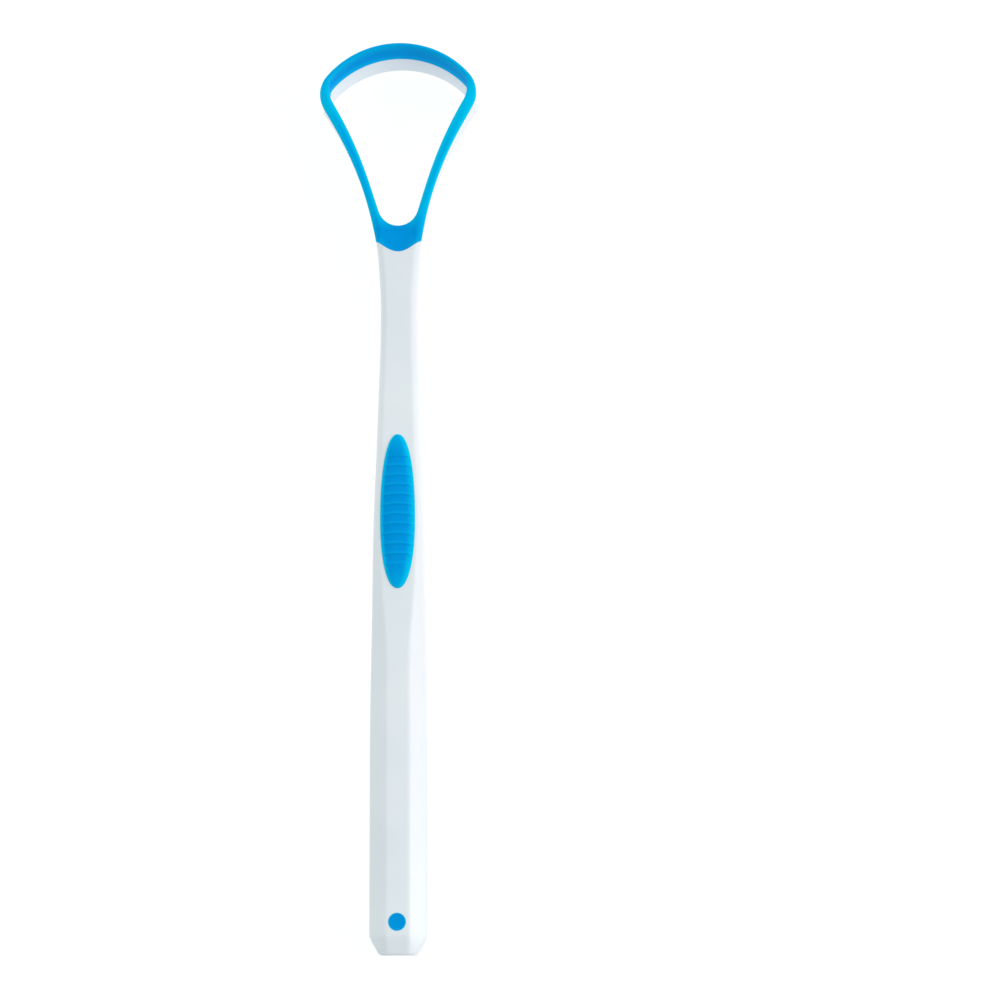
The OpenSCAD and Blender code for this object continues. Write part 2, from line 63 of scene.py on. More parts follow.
# Floor, the opal top of a light table: it glows from below, so it stays white beside the scraper and
# takes almost no shadow.
def linear(hex_colour):
    """sRGB hex colour to linear light: a power of 2.4 above the toe, and a straight line in it."""
    s = np.array([int(hex_colour[i : i + 2], 16) for i in (1, 3, 5)]) / 255
    return (*np.where(s <= 0.04045, s / 12.92, ((s + 0.055) / 1.055) ** 2.4), 1)


def add_node(tree, kind, inputs=(), **settings):
    """A node of this kind with its settings. An input is set to a value, or linked from an output."""
    node = tree.nodes.new(kind)
    for name, value in settings.items():
        setattr(node, name, value)
    for name, value in dict(inputs).items():
        if isinstance(value, bpy.types.NodeSocket):
            tree.links.new(value, node.inputs[name])
        else:
            node.inputs[name].default_value = value
    return node


def new_material(name):
    """An empty material with a node tree."""
    material = bpy.data.materials.new(name)
    material.use_nodes = True
    material.node_tree.nodes.clear()
    return material


lit_table = new_material("opal acrylic lit from below")
tree = lit_table.node_tree
acrylic = add_node(tree, "ShaderNodeBsdfPrincipled", {
    "Base Color": linear("#7c7e80"), "Roughness": 0.9, "Specular IOR Level": 0.1,
    "Emission Color": linear("#ffffff"), "Emission Strength": 0.85,
})
add_node(tree, "ShaderNodeOutputMaterial", {"Surface": acrylic.outputs[0]})
floor_half = 3000
floor_z = -0.05
floor_mesh = bpy.data.meshes.new("floor")
floor_corners = np.array([[-1, -1], [1, -1], [1, 1], [-1, 1]]) * floor_half
floor_mesh.from_pydata((np.c_[floor_corners, np.full(4, floor_z)] * MM).tolist(), [], [[0, 1, 2, 3]])
floor_mesh.materials.append(lit_table)
floor = bpy.data.objects.new("floor", floor_mesh)
bpy.context.scene.collection.objects.link(floor)

# Light: a white tent that is brightest above the tip, dimmer and bluer towards the tail and a little
# greener on the left, a strong low soft box on the right, and a weak one on the left. The tent's
# strength is a level plus a share of each axis of the direction looked at, and never below 0.
tent_level, tent_shares = 0.345, (0.04, 0.35, 0.66)
# Colour cast at each end of an axis, and how far along it the second one is reached
tent_casts = {"X": ("#f1fffd", "#fffcfe", 1), "Y": ("#daeafd", "#fffefb", 0.6)}
tent = bpy.data.worlds.new("white tent")
tent.use_nodes = True
tree = tent.node_tree
way = add_node(tree, "ShaderNodeTexCoord").outputs["Generated"]
tilt = add_node(tree, "ShaderNodeVectorMath", {0: way, 1: tent_shares}, operation="DOT_PRODUCT")
level = add_node(tree, "ShaderNodeMath", {0: tilt.outputs["Value"], 1: tent_level}, operation="ADD")
level = add_node(tree, "ShaderNodeMath", {0: level.outputs[0], 1: 0}, operation="MAXIMUM")
axis = add_node(tree, "ShaderNodeSeparateXYZ", {"Vector": way})
casts = []
for name, (low_cast, high_cast, level_from) in tent_casts.items():
    share = add_node(tree, "ShaderNodeMapRange", {"Value": axis.outputs[name], "From Min": -1.0})
    cast = add_node(tree, "ShaderNodeValToRGB", {"Fac": share.outputs["Result"]})
    low_end, high_end = cast.color_ramp.elements
    low_end.color, high_end.color, high_end.position = linear(low_cast), linear(high_cast), level_from
    casts.append(cast.outputs["Color"])
cast = add_node(tree, "ShaderNodeMixRGB", {
    "Fac": 1.0, "Color1": casts[0], "Color2": casts[1],
}, blend_type="MULTIPLY")
backdrop = tree.nodes["Background"]
tree.links.new(cast.outputs["Color"], backdrop.inputs["Color"])
tree.links.new(level.outputs[0], backdrop.inputs["Strength"])
bpy.context.scene.world = tent
bpy.context.scene.view_settings.view_transform = "Standard"


def soft_box(name, at, aim, size, power):
    """A square area light, its size in mm and its power in W, turned to what it lights."""
    lamp = bpy.data.objects.new(name, bpy.data.lights.new(name, "AREA"))
    lamp.data.size = size * MM
    lamp.data.energy = power
    lamp.location = Vector(at) * MM
    lamp.rotation_euler = (Vector(aim) - Vector(at)).to_track_quat("-Z", "Y").to_euler()
    bpy.context.scene.collection.objects.link(lamp)


soft_box("right soft box", (590, -120, 240), (0, 0, 0), 300, 1.2)
soft_box("left soft box", (-600, 60, 240), (0, 0, 0), 300, 0.25)


# Handle body: the first shot, white polypropylene moulded in one piece. A bevelled bar runs from
# the tapered tail to the neck and opens into the frame of the loop, with a pocket for the grip,
# a seat for the throat, a step for the lip and a hole for the tail dot.
def mix(a, b, t):
    """a at 0, b at 1, and on the straight line through them elsewhere."""
    return a + (b - a) * t


def ease(t):
    """0 before 0, 1 after 1, and between them 3 t squared less 2 t cubed."""
    t = np.clip(t, 0, 1)
    return t * t * (3 - 2 * t)


def along(keys, x):
    """Cubic curve through [place, size] keys. Its slope at a key is the harmonic mean of the slopes
    on both sides, and level at a turn and at the ends, so that it never overshoots a key."""
    place, size = np.array(keys, float).T
    run = np.diff(place)
    rise = np.diff(size) / run
    product, total = rise[:-1] * rise[1:], rise[:-1] + rise[1:]
    slope = np.zeros(len(place))
    slope[1:-1] = np.divide(2 * product, total, out=np.zeros_like(total), where=product > 0)
    i = np.clip(np.searchsorted(place, x, side="right") - 1, 0, len(run) - 1)
    t = np.clip((x - place[i]) / run[i], 0, 1)
    return (
        (2 * t**3 - 3 * t**2 + 1) * size[i] + (t**3 - 2 * t**2 + t) * run[i] * slope[i]
        + (3 * t**2 - 2 * t**3) * size[i + 1] + (t**3 - t**2) * run[i] * slope[i + 1]
    )


def rounded(rings, soft, bends=5, runs=()):
    """Rounds the corners of closed rings, given as (ring, corner, xyz). Each corner becomes points,
    as many as bends says, on the parabola that leaves its two sides soft mm away, or 0.45 of a side
    away where that is less. Runs are shares of the straight sides where further points stand."""
    to_last, to_next = np.roll(rings, 1, axis=1) - rings, np.roll(rings, -1, axis=1) - rings
    soft = np.broadcast_to(soft, rings.shape[1])[None, :, None]
    ends = []
    for way in (to_last, to_next):
        side = np.linalg.norm(way, axis=-1, keepdims=True) + 1e-9
        ends.append(rings + way / side * np.minimum(soft, 0.45 * side))
    near, corner, far = (points[:, :, None] for points in (ends[0], rings, ends[1]))
    t = np.linspace(0, 1, bends)[None, None, :, None]
    bend = (1 - t) ** 2 * near + 2 * t * (1 - t) * corner + t**2 * far
    straight = mix(far, np.roll(near, -1, axis=1), np.array(runs, float)[None, None, :, None])
    return np.concatenate([bend, straight], axis=2).reshape(len(rings), -1, 3)


def skin(name, rings, joined, painted_light_depth=None):
    """Mesh of quads between neighbouring rings of points in mm. The last ring joins the first where
    the path is closed, and otherwise a flat face closes each end. Its faces are turned outwards.
    The last argument gives each point's depth in mm into the painted light at the edges of the soft
    blue material: 0 at an edge, and more where less light is painted."""
    count, points = rings.shape[:2]
    index = np.arange(count * points).reshape(count, points)
    near, far = (index, np.roll(index, -1, axis=0)) if joined else (index[:-1], index[1:])
    quads = np.stack([near, np.roll(near, -1, axis=1), np.roll(far, -1, axis=1), far], axis=-1)
    faces = quads.reshape(-1, 4).tolist()
    if not joined:
        faces += [index[0].tolist(), index[-1].tolist()]
    mesh = bpy.data.meshes.new(name)
    mesh.from_pydata((rings.reshape(-1, 3) * MM).tolist(), [], faces)
    shell = bmesh.new()
    shell.from_mesh(mesh)
    bmesh.ops.recalc_face_normals(shell, faces=shell.faces)
    shell.to_mesh(mesh)
    shell.free()
    if painted_light_depth is not None:
        mesh.attributes.new("painted_light_depth", "FLOAT", "POINT").data.foreach_set("value", painted_light_depth.ravel())
    piece = bpy.data.objects.new(name, mesh)
    bpy.context.scene.collection.objects.link(piece)
    return piece


def prism(name, outline, low, high):
    """Upright prism on an outline of points in mm, between two heights."""
    rings = np.stack([np.c_[outline, np.full(len(outline), z)] for z in (low, high)])
    return skin(name, rings, joined=False)


def circle(centre_y, radius, points=96):
    """Outline of a circle on the middle line: cosine and sine of equal turns, times the radius."""
    turn = np.linspace(0, 2 * np.pi, points, endpoint=False)
    return np.c_[radius * np.cos(turn), centre_y + radius * np.sin(turn)]


def combine(piece, others, operation):
    """Joins or cuts with other closed meshes, which are then deleted."""
    for other in others:
        step = piece.modifiers.new(operation, "BOOLEAN")
        step.operation, step.solver, step.object = operation, "EXACT", other
        evaluated = piece.evaluated_get(bpy.context.evaluated_depsgraph_get())
        done = bpy.data.meshes.new_from_object(evaluated)
        piece.modifiers.clear()
        piece.data = done
        bpy.data.objects.remove(other)


def cut_wide_faces(piece):
    """Merges points that lie together, and cuts the many-sided faces that a boolean leaves into
    triangles, so that none folds over."""
    together = 1e-4 * MM
    shell = bmesh.new()
    shell.from_mesh(piece.data)
    bmesh.ops.remove_doubles(shell, verts=shell.verts, dist=together)
    bmesh.ops.triangulate(shell, faces=[face for face in shell.faces if len(face.verts) > 4])
    shell.to_mesh(piece.data)
    shell.free()


def finish_piece(piece, material, sharp_angle, node):
    """Smooth shading up to an angle, the material, the body that the piece rides, and the CAD node that
    it stands for, which it hides."""
    piece.data.polygons.foreach_set("use_smooth", np.ones(len(piece.data.polygons), bool))
    piece.data.set_sharp_from_angle(angle=np.radians(sharp_angle))
    piece.data.materials.clear()
    piece.data.materials.append(material)
    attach(piece, "root")
    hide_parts(node)


# Gap between a soft piece and its seat, so that no two of their faces lie in one plane
bond_gap = 0.012
length, loop_l, seat_side_l, neck_end_l = 175, 41.4, 2.3, 2
tail_y, tip_y = -length / 2, length / 2
pad_y, pad_top_y, pad_low_y = tail_y + 81.5, tail_y + 97.6, tail_y + 68.1
# Behind these two places the handle has its full width, and its full facets
full_y, facet_y = pad_low_y - 31, pad_low_y - 13
throat_y = tip_y - loop_l
neck_y = throat_y - 12
seat_side_y = throat_y + seat_side_l
neck_end_y = seat_side_y + neck_end_l
handle_t, neck_dip, neck_lift, tip_rise, arm_t = 7.5, 0.6, 1.2, 1.3, 4.6
handle_w, grip_low_w, grip_mid_w, grip_top_w, neck_w, throat_w = 10.8, 9.9, 9.3, 8.1, 6.9, 8.8
flat_w, bevel_h, neck_bevel_w, neck_bevel_h = 4.4, 2.5, 0.9, 1.1
# The bar ends inside the throat, and flares before it less steeply than the arms spread there
throat_angle = np.radians(9.6)
flare_l, flare_ease = 3, 0.8
flare_y = seat_side_y - flare_l
flare_w = throat_w - 2 * flare_l * np.tan(throat_angle) * flare_ease
neck_end_w = throat_w + 2 * neck_end_l * np.tan(throat_angle)
width_keys = [
    [tail_y, handle_w], [full_y, handle_w], [pad_low_y, grip_low_w], [pad_y, grip_mid_w],
    [pad_top_y, grip_top_w], [neck_y, neck_w], [flare_y, flare_w], [seat_side_y, throat_w],
    [neck_end_y, neck_end_w], [2 * neck_end_y - seat_side_y, 2 * neck_end_w - throat_w],
]
flat_keys = [
    [tail_y, flat_w], [facet_y, flat_w], [pad_low_y, (flat_w + grip_low_w) / 2 - neck_bevel_w],
] + [[y, w - 2 * neck_bevel_w] for y, w in width_keys[3:]]
bevel_keys = [
    [tail_y, bevel_h], [facet_y, bevel_h], [pad_y, neck_bevel_h], [neck_end_y, neck_bevel_h],
]
neck_top = handle_t - neck_dip
front_keys = [
    [tail_y, handle_t], [pad_top_y, handle_t], [neck_y, neck_top],
    [throat_y, neck_top + tip_rise * 0.1], [throat_y + loop_l * 0.35, handle_t + tip_rise * 0.5],
    [throat_y + loop_l * 0.7, handle_t + tip_rise * 0.85], [tip_y, handle_t + tip_rise],
]
back_keys = [
    [tail_y, 0], [pad_top_y, 0], [neck_y, neck_lift], [seat_side_y, neck_lift * 1.6],
] + [[y, z - arm_t] for y, z in front_keys[4:]]

# The bar's rings stand close where it flares and where the tail tapers
tail_steps = [0, 0.04, 0.12, 0.24, 0.38, 0.5, 0.8, 1.4, 2.1, 2.7, 3.1, 3.35, 3.5, 3.65, 3.9]
bar_places = np.r_[
    tail_y + np.array(tail_steps), np.linspace(tail_y + 4.1, flare_y, 150),
    np.linspace(flare_y, neck_end_y, 24)[1:],
]
# Share of the full section that the tail has: a round edge, the taper, and a softened start
tail_keys = [
    [0, 0.58], [0.12, 0.64], [0.38, 0.68], [0.8, 0.727], [3.1, 0.967], [3.5, 0.994], [3.9, 1],
    [length, 1],
]
tail_share = along(tail_keys, bar_places - tail_y)
# The flats keep most of their width there, and the thickness shrinks less than the width
flat_share, thick_share = mix(1, tail_share, 0.2), mix(1, tail_share, 0.6)
half_w, half_flat = along(width_keys, bar_places) / 2, along(flat_keys, bar_places) / 2
bevel, top, low = (along(keys, bar_places) for keys in (bevel_keys, front_keys, back_keys))
# The bevels lose as much of their height as of their width, and so keep their slope
bevel = bevel * (half_w * tail_share - half_flat * flat_share) / (half_w - half_flat)
half_w, half_flat = half_w * tail_share, half_flat * flat_share
bar_x = np.stack([half_flat, half_w, half_w, half_flat], axis=1)
bar_x = np.concatenate([bar_x, -bar_x], axis=1)
bar_z = np.stack([top, top - bevel, low + bevel, low, low, low + bevel, top - bevel, top], axis=1)
bar_rings = np.stack([
    bar_x,
    np.repeat(bar_places[:, None], 8, axis=1),
    mix(handle_t / 2, bar_z, thick_share[:, None]),
], axis=-1)
bar_soft, bar_runs = 0.45, (0.06, 0.5, 0.94)
handle = skin("handle_body", rounded(bar_rings, bar_soft, runs=bar_runs), joined=False)

# The loop is followed in stages, from the middle of the scraping arc at 0 past the end of the arc,
# the end of the corner, the arm and the seat's corner to the bottom of the throat at 5
ARC, CORNER, ARM, SEAT, THROAT = 1, 2, 3, 4, 5
loop_w, arc_extra_r = 30.3, 3
arc_r, corner_r = loop_w / 2 + arc_extra_r, 5.6
arc_c = np.array([0, tip_y - arc_r])
corner_turn = np.arcsin((loop_w / 2 - corner_r) / (arc_r - corner_r))
corner_c = arc_c + (arc_r - corner_r) * np.array([np.sin(corner_turn), np.cos(corner_turn)])
arm_angle = np.radians(24)
corner_end = np.pi / 2 + arm_angle
throat_l, crotch_r = 5.2, 3.95
crotch_angle = np.radians(18)
crotch_c = np.array([0, throat_y + throat_l + crotch_r])
seat_look = np.arctan2(crotch_c[1] - seat_side_y, throat_w / 2)
seat_wave = np.radians(105)
lip_w, lip_corner_w, lip_arm_w = 0.8, 1.75, 2.05


def seat_dip(x):
    """Lower edge of the throat, lowest in the middle: it rises to the seat's corners as one less
    the cosine of an angle that grows evenly with x."""
    return throat_y + seat_side_l * (1 - np.cos(seat_wave * x / throat_w * 2)) / (1 - np.cos(seat_wave))


def bezier(line, t):
    """Cubic Bezier curve: four points weighted by the terms of (1 - t + t) cubed."""
    t = t[:, None]
    return (
        (1 - t) ** 3 * line[0] + 3 * (1 - t) ** 2 * t * line[1]
        + 3 * (1 - t) * t**2 * line[2] + t**3 * line[3]
    )


def outward(angle):
    """Unit vector to the tip, turned outward by this angle: its sine across, its cosine along."""
    return np.array([np.sin(angle), np.cos(angle)])


arm_from = corner_c + corner_r * np.array([np.cos(arm_angle), -np.sin(arm_angle)])
arm_to = np.array([throat_w / 2, seat_side_y])
arm_run = np.linalg.norm(arm_to - arm_from)
arm_line = [
    arm_from, arm_from - arm_run * 0.12 * outward(arm_angle),
    arm_to + arm_run * 0.53 * outward(throat_angle), arm_to,
]
inner_angle = np.radians(30)
inner_from = arm_from - lip_arm_w * np.array([np.cos(arm_angle), -np.sin(arm_angle)])
inner_to = crotch_c + crotch_r * np.array([np.cos(crotch_angle), -np.sin(crotch_angle)])
inner_run = np.linalg.norm(inner_to - inner_from)
inner_line = [
    inner_from, inner_from - inner_run * 0.45 * outward(inner_angle),
    inner_to + inner_run * 0.26 * outward(crotch_angle), inner_to,
]

stage = np.concatenate([
    np.linspace(0, ARC, 70, endpoint=False), np.linspace(ARC, CORNER, 40, endpoint=False),
    np.linspace(CORNER, ARM, 60, endpoint=False), np.linspace(ARM, SEAT, 20, endpoint=False),
    np.linspace(SEAT, THROAT, 28),
])
turn = np.where(stage < ARC, corner_turn * stage, mix(corner_turn, corner_end, stage - ARC))
spoke = np.c_[np.sin(turn), np.cos(turn)]
lip_w_keys = [[0, lip_w], [0.9, lip_w], [1.5, lip_corner_w], [CORNER, lip_arm_w]]
edge_w = along(lip_w_keys, stage)[:, None]
# Share of the outer arm's curve that lies beside the opening's own arm
split = 0.875
outer_share = np.where(stage < ARM, (stage - CORNER) * split, mix(split, 1, stage - ARM))
seat_x = throat_w / 2 * (THROAT - stage)
look = np.where(
    stage < SEAT, mix(crotch_angle, seat_look, stage - ARM), mix(seat_look, np.pi / 2, stage - SEAT)
)
on_arc, on_corner, on_arm, above_seat = (stage[:, None] < s for s in (ARC, CORNER, ARM, SEAT))
outer = np.select(
    [on_arc, on_corner, above_seat],
    [arc_c + arc_r * spoke, corner_c + corner_r * spoke, bezier(arm_line, np.clip(outer_share, 0, 1))],
    np.c_[seat_x, seat_dip(seat_x)],
)
inner = np.select(
    [on_corner, on_arm],
    [outer - edge_w * spoke, bezier(inner_line, np.clip(stage - CORNER, 0, 1))],
    crotch_c + crotch_r * np.c_[np.cos(look), -np.sin(look)],
)
width = np.linalg.norm(inner - outer, axis=1)
inward = (inner - outer) / width[:, None]

# The wall behind the scraping arc leans to the handle and reaches deep. The lean and the depth of
# its blue skin fade round the corners, and its own depth along the arms.
wall_lean = np.radians(18)
wall_depth, wall_flare = 8.2, 1
wall_fade_l, lean_fade_l = 20, 8
past_arc = outer[:, 1] - arc_c[1] - arc_r * np.cos(corner_turn)
wall_share = ease(1 + past_arc / wall_fade_l)
lean_share = ease(1 + past_arc / lean_fade_l)
lean = wall_lean * lean_share
full_depth = along(front_keys, outer[:, 1]) - along(back_keys, outer[:, 1])
full_depth = mix(full_depth, wall_depth, wall_share)
flare_share = along([[0, 1], [0.5, 0.8], [1.1, 0], [THROAT, 0]], stage)
lip_cap_h, arm_cap_h, throat_cap_h = 1.6, 1, 1.1
lip_skin_depth, arm_skin_depth, crotch_wrap_h = 4.2, 1.3, 0.5
cap_h = along([[0, lip_cap_h], [ARC, lip_cap_h], [CORNER, arm_cap_h], [ARM, arm_cap_h]], stage)
seat_z = float(along(front_keys, np.array([throat_y]))[0]) - throat_cap_h
# The lip's outer bevel, up to its ridge, runs into the neck's and ends with it across the throat
seat_bevel_h, seat_bevel_w = neck_bevel_h * 0.9, neck_bevel_w / np.cos(seat_look)
least_bevel, least_ridge = 0.055, 0.045
lip_bevel_keys = [[0, 0.3], [ARC, 0.3], [CORNER, 0.5], [ARM, 0.5], [SEAT, seat_bevel_h]]
ridge_keys = [[0, lip_w * 0.7], [ARC, lip_w * 0.7], [CORNER, 1.3], [ARM, 1.1], [SEAT, seat_bevel_w]]
bevel_left = np.maximum(0, outer[:, 0] - throat_w / 2 + neck_bevel_w) / neck_bevel_w
lip_bevel = np.maximum(least_bevel, seat_bevel_h * bevel_left)
lip_bevel = np.where(stage < SEAT, along(lip_bevel_keys, stage), lip_bevel)
ridge = np.maximum(least_ridge, seat_bevel_w * bevel_left)
ridge = np.where(stage < SEAT, along(ridge_keys, stage), ridge)


def loop_place(n, d):
    """Plan of a point n inward from the outer line and d down along the wall, which leans by the
    sine of its angle for each mm below its bevel."""
    place = outer + inward * np.broadcast_to(n, stage.shape)[:, None]
    return place - np.c_[np.zeros_like(stage), (d - lip_bevel) * np.sin(lean)]


def loop_point(n, d):
    """The same point in space: its depth is below the front's height at its own place."""
    place = loop_place(n, d)
    return np.c_[place, along(front_keys, place[:, 1]) - d * np.cos(lean)]


def back_point(n, height):
    """A point of the loop's back, a height above the curve that the back of neck and arms follows,
    and above the wall's lower edge where the wall is deep."""
    place = loop_place(n, full_depth)
    wall_low = along(front_keys, place[:, 1]) - wall_depth * np.cos(wall_lean)
    return np.c_[place, mix(along(back_keys, place[:, 1]), wall_low, wall_share) + height]


def foot_point(n, d, level):
    """A point of the step under the lip: d below the front along the arms, level in the throat."""
    point = loop_point(n, d)
    return np.c_[point[:, :2], mix(point[:, 2], level, ease(stage - ARM))]


def cap_point(n, gap):
    """Step under the cap, this gap below it."""
    return foot_point(n, cap_h + gap, seat_z - gap)


def skin_point(n, gap):
    """Lower end of the skin inside the wall, deepest where the wall leans, this gap below it."""
    depth = mix(arm_skin_depth, lip_skin_depth, lean_share)
    return foot_point(n, depth + gap, seat_z - crotch_wrap_h - gap)


def flare(d):
    """How far the wall's outer face stands out, in proportion to the depth."""
    return -wall_flare * flare_share * d / wall_depth


def both_sides(rings):
    """Half of the loop's rings, and their mirror image back to the start."""
    return np.concatenate([rings, rings[-2:0:-1] * [-1, 1, 1]])


back_soft, skin_t = 0.35, 0.5
step_n = width - skin_t - bond_gap
# The frame's back edges widen into the neck's bevels, and run 1 mm into the bar below the throat
back_w = along([[0, back_soft], [2.6, back_soft], [SEAT, seat_bevel_w]], stage)
back_h = along([[0, back_soft], [2.6, back_soft], [SEAT, neck_bevel_h]], stage)
buried = np.c_[np.zeros_like(stage), -ease((stage - SEAT) * 3), np.zeros_like(stage)]
frame_rings = np.stack([
    cap_point(step_n, bond_gap), skin_point(step_n, bond_gap), skin_point(width, bond_gap),
    back_point(width, back_soft), back_point(width - back_soft, 0),
    buried + back_point(flare(full_depth) + back_w, 0),
    buried + back_point(flare(full_depth - back_h), back_h),
    buried + cap_point(flare(cap_h), bond_gap),
], axis=1)
frame_soft = [0.03, 0.03, 0.03, 0.3, 0.3, 0.3, 0.3, 0.05]
frame_rings = both_sides(rounded(frame_rings, frame_soft, runs=(0.5,)))
loop_frame = skin("loop_frame", frame_rings, joined=True)

seat_x_line = np.linspace(-throat_w / 2, throat_w / 2, 49)
seat_outline = np.r_[
    np.c_[seat_x_line, seat_dip(seat_x_line)],
    [[throat_w, seat_side_y], [throat_w, neck_end_y + 1]],
    [[-throat_w, neck_end_y + 1], [-throat_w, seat_side_y]],
]
# It is cut a little below the frame's own seat, so that no two faces lie in one plane
apart = 0.02
seat_cut = prism("seat_cut", seat_outline - [0, bond_gap], seat_z - bond_gap - apart, 2 * handle_t)

pad_w, pocket_z, egg_power = 6.6, handle_t - 1.2, 2.2


def egg(y):
    """Half width of the grip pad: a superellipse, where the shares of the half width and of the way
    to the end, each to the same power, add up to 1. It is longer above its widest place."""
    v = np.abs(y - pad_y) / np.where(y > pad_y, pad_top_y - pad_y, pad_y - pad_low_y)
    return pad_w / 2 * np.maximum(0, 1 - v**egg_power) ** (1 / egg_power)


egg_turn = np.linspace(0, np.pi, 120)
egg_y = mix(pad_low_y, pad_top_y, (1 - np.cos(egg_turn)) / 2)
end_gap = np.sign(egg_y - pad_y) * bond_gap * np.abs(np.cos(egg_turn))
egg_side = np.c_[egg(egg_y) + bond_gap, egg_y + end_gap]
pocket_outline = np.r_[egg_side, egg_side[-2:0:-1] * [-1, 1]]
pocket_cut = prism("pocket_cut", pocket_outline, pocket_z - bond_gap, handle_t + 1)
peg_r, peg_l, peg_reach, peg_overlap = 1, 2.2, 7, 0.3
peg_ys = [pad_y - peg_reach, pad_y + peg_reach]
peg_cuts = [
    prism("peg_cut", circle(y, peg_r + bond_gap), pocket_z - peg_l - bond_gap, pocket_z) for y in peg_ys
]
dot_y, dot_r, root_r = tail_y + 6, 1.65, 1
dot_z = handle_t - 1.2
root_z = dot_z - 2
dot_cut = prism("dot_cut", circle(dot_y, dot_r + bond_gap), dot_z - bond_gap, handle_t + 1)
root_cut = prism("root_cut", circle(dot_y, root_r + bond_gap), root_z - bond_gap, dot_z)
combine(handle, [seat_cut, pocket_cut, *peg_cuts, dot_cut, root_cut], "DIFFERENCE")
combine(handle, [loop_frame], "UNION")
cut_wide_faces(handle)

# Semi-gloss moulded polypropylene, cool white. The polished mould leaves a faint waviness about
# 3 mm long, which breaks the gloss, and a grain that is drawn at 0.5 mm to show at all.
white_plastic = new_material("polypropylene moulded semi-gloss")
tree = white_plastic.node_tree
place = add_node(tree, "ShaderNodeTexCoord").outputs["Object"]
cloud_size, wave_size, grain_size = 12 * MM, 3 * MM, 0.5 * MM
cloud = add_node(tree, "ShaderNodeTexNoise", {"Vector": place, "Scale": 1 / cloud_size, "Detail": 2.0})
tint = add_node(tree, "ShaderNodeValToRGB", {"Fac": cloud.outputs["Fac"]})
dull, clear = tint.color_ramp.elements
dull.position, dull.color = 0.3, linear("#eef2f6")
clear.position, clear.color = 0.7, linear("#f3f6f9")
grain = add_node(tree, "ShaderNodeTexNoise", {"Vector": place, "Scale": 1 / grain_size, "Detail": 2.0})
wave = add_node(tree, "ShaderNodeTexNoise", {"Vector": place, "Scale": 1 / wave_size, "Detail": 1.0})
fine = add_node(tree, "ShaderNodeBump", {
    "Height": grain.outputs["Fac"], "Distance": 0.004 * MM, "Strength": 0.6,
})
wavy = add_node(tree, "ShaderNodeBump", {
    "Height": wave.outputs["Fac"], "Distance": 0.02 * MM, "Strength": 0.6,
    "Normal": fine.outputs["Normal"],
})
gloss = add_node(tree, "ShaderNodeMapRange", {
    "Value": cloud.outputs["Fac"], "To Min": 0.26, "To Max": 0.34,
})
plastic = add_node(tree, "ShaderNodeBsdfPrincipled", {
    "Base Color": tint.outputs["Color"], "Roughness": gloss.outputs["Result"], "IOR": 1.49,
    "Normal": wavy.outputs["Normal"],
})
add_node(tree, "ShaderNodeOutputMaterial", {"Surface": plastic.outputs[0]})
finish_piece(handle, white_plastic, 32, "handle_body")

# Scraper rim: the second shot, soft blue thermoplastic elastomer bonded round the front of the
# loop. A thin lip on the arc scrapes, a skin backs it, and it widens into the dished throat.
inner_drop = 0.5 * along([[0, 0.4], [ARC, 0.4], [CORNER, 0.6], [ARM, 0.6], [THROAT, 1]], stage)
dish = 0.35 * along([[0, 0], [ARM, 0], [SEAT, 0.5], [THROAT, 1]], stage)
lip_rings = np.stack([
    cap_point(0, 0), loop_point(0, lip_bevel),
    loop_point(ridge / 3, lip_bevel / 3), loop_point(ridge, 0),
    loop_point(mix(ridge, width, 1 / 3), inner_drop / 6 + dish * 0.65),
    loop_point(mix(ridge, width, 2 / 3), inner_drop / 2 + dish), loop_point(width, inner_drop),
    skin_point(width, 0), skin_point(width - skin_t, 0), cap_point(width - skin_t, 0),
], axis=1)
lip_soft = [0.03, 0.1, 0.3, 0.6, 1, 1, 0.14, 0.03, 0.03, 0.03]
lip_bends, lip_runs = 5, (0.15, 0.5, 0.85)
lip_skin = rounded(lip_rings, lip_soft, lip_bends, lip_runs)
# Distance round each ring from the nearest of its outer foot, bevel, inner edge and lower edge
steps = np.linalg.norm(np.diff(lip_skin, axis=1, prepend=lip_skin[:, :1]), axis=-1).cumsum(axis=1)
edge_corners = np.array([0, 1, 6, 7]) * (lip_bends + len(lip_runs)) + lip_bends // 2
painted_light_depth = np.abs(steps[:, :, None] - steps[:, None, edge_corners]).min(axis=2)
# Painted shade and light: the thick arc and the dished throat are held back from the painted edge
# light, so they stay darker than the arms, and the left side, turned from the lamp, gets less of it
# than the right one
painted_shade_depth = along([
    [0, 1.15], [ARC, 0.8], [CORNER, 0], [2.5, 0.05], [ARM, 0.5], [SEAT, 1.05], [THROAT, 1.8],
], stage)[:, None]
on_right, on_left = 0.35 * painted_light_depth + painted_shade_depth, 0.55 * painted_light_depth + 0.85 * painted_shade_depth
painted_light_depth = np.concatenate([on_right, on_left[-2:0:-1]])
lip = skin("scraper_rim", both_sides(lip_skin), joined=True, painted_light_depth=painted_light_depth)

# Satin elastomer: an even blue, faint highlights, and a fine matt grain from the eroded mould, drawn at
# 0.45 mm so that it shows. Near its edges it is painted a lighter cyan, which fades out at 2 mm of the
# attribute's depth: painted light, partly for the light that thin edges let through and partly for the
# side turned to the lamp.
soft_blue = new_material("thermoplastic elastomer satin moulded")
tree = soft_blue.node_tree
place = add_node(tree, "ShaderNodeTexCoord").outputs["Object"]
cloud_size, grain_size, painted_light_reach = 8 * MM, 0.45 * MM, 2.0
cloud = add_node(tree, "ShaderNodeTexNoise", {"Vector": place, "Scale": 1 / cloud_size, "Detail": 3.0})
tint = add_node(tree, "ShaderNodeValToRGB", {"Fac": cloud.outputs["Fac"]})
dull, clear = tint.color_ramp.elements
dull.position, dull.color = 0.3, linear("#009ae6")
clear.position, clear.color = 0.7, linear("#009eea")
